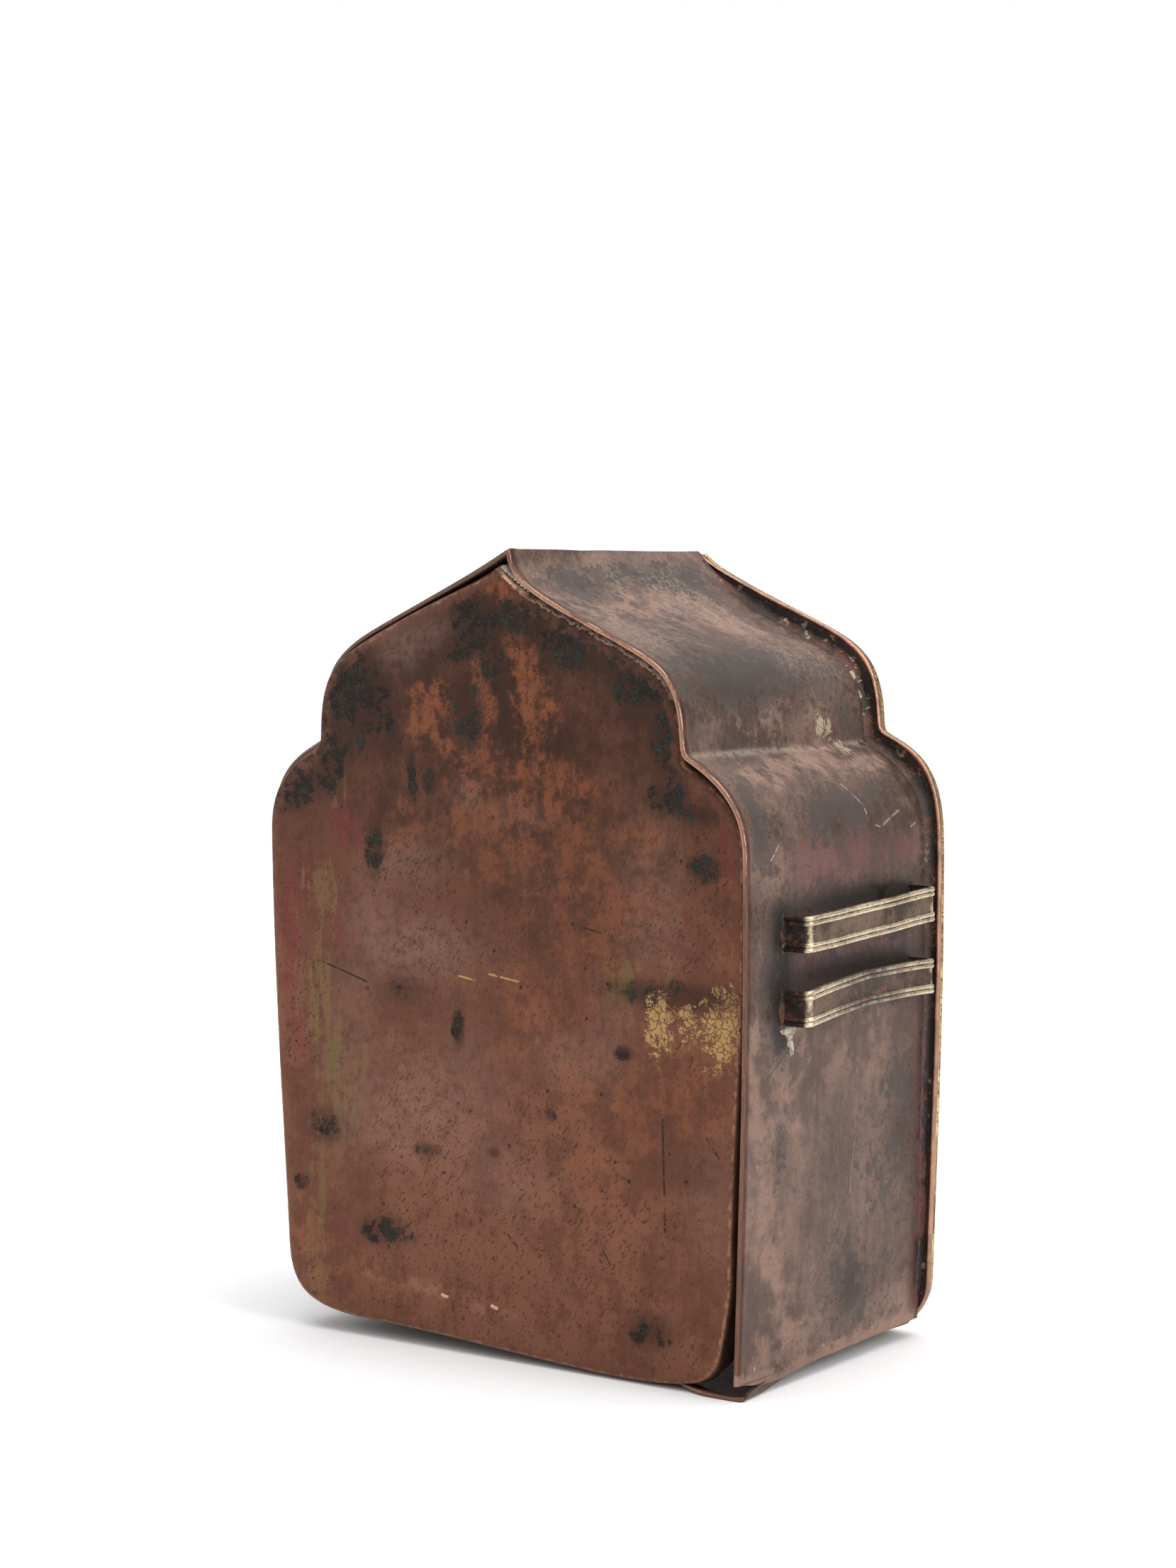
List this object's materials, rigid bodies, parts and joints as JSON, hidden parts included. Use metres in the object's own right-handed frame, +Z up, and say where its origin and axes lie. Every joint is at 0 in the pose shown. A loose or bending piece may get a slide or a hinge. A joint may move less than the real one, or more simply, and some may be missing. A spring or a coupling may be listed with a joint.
{
  "type": "gau box",
  "caption": "Travelling gau amulet box: copper case with an ogee top, back cover, flat front frame, gilt face with an arched window and brass strap loops on its sides",
  "frame": {"origin": "centre of the overall box on the surface that the case stands on", "axes": "+Z up towards the pointed top, -Y out of the window of the gilt face, +Y out of the back cover, +X towards the side with no lap seam"},
  "size_m": [0.1286, 0.066, 0.1529],
  "materials": {
    "dark_copper": "dark brown-purple patina on hammered copper, dusty, worn pink at its edges",
    "red_copper": "reddish-brown copper, pitted, with worn orange patches and black-green patina",
    "worn_copper": "rounded copper edge worn bright orange over brown",
    "gilt_sheet": "thin gilt copper sheet, worn brown on its relief and dark in its hollows",
    "pale_brass": "embossed pale brass ribbon, ribs worn bright, brown in its grooves"
  },
  "bodies": {
    "root": {"case_band": "dark_copper", "back_cover": "red_copper", "front_frame": "worn_copper", "front_face": "gilt_sheet", "strap_loop_upper_minus_x": "pale_brass", "strap_loop_lower_minus_x": "pale_brass", "strap_loop_upper_plus_x": "pale_brass", "strap_loop_lower_plus_x": "pale_brass"}
  },
  "joints": []
}
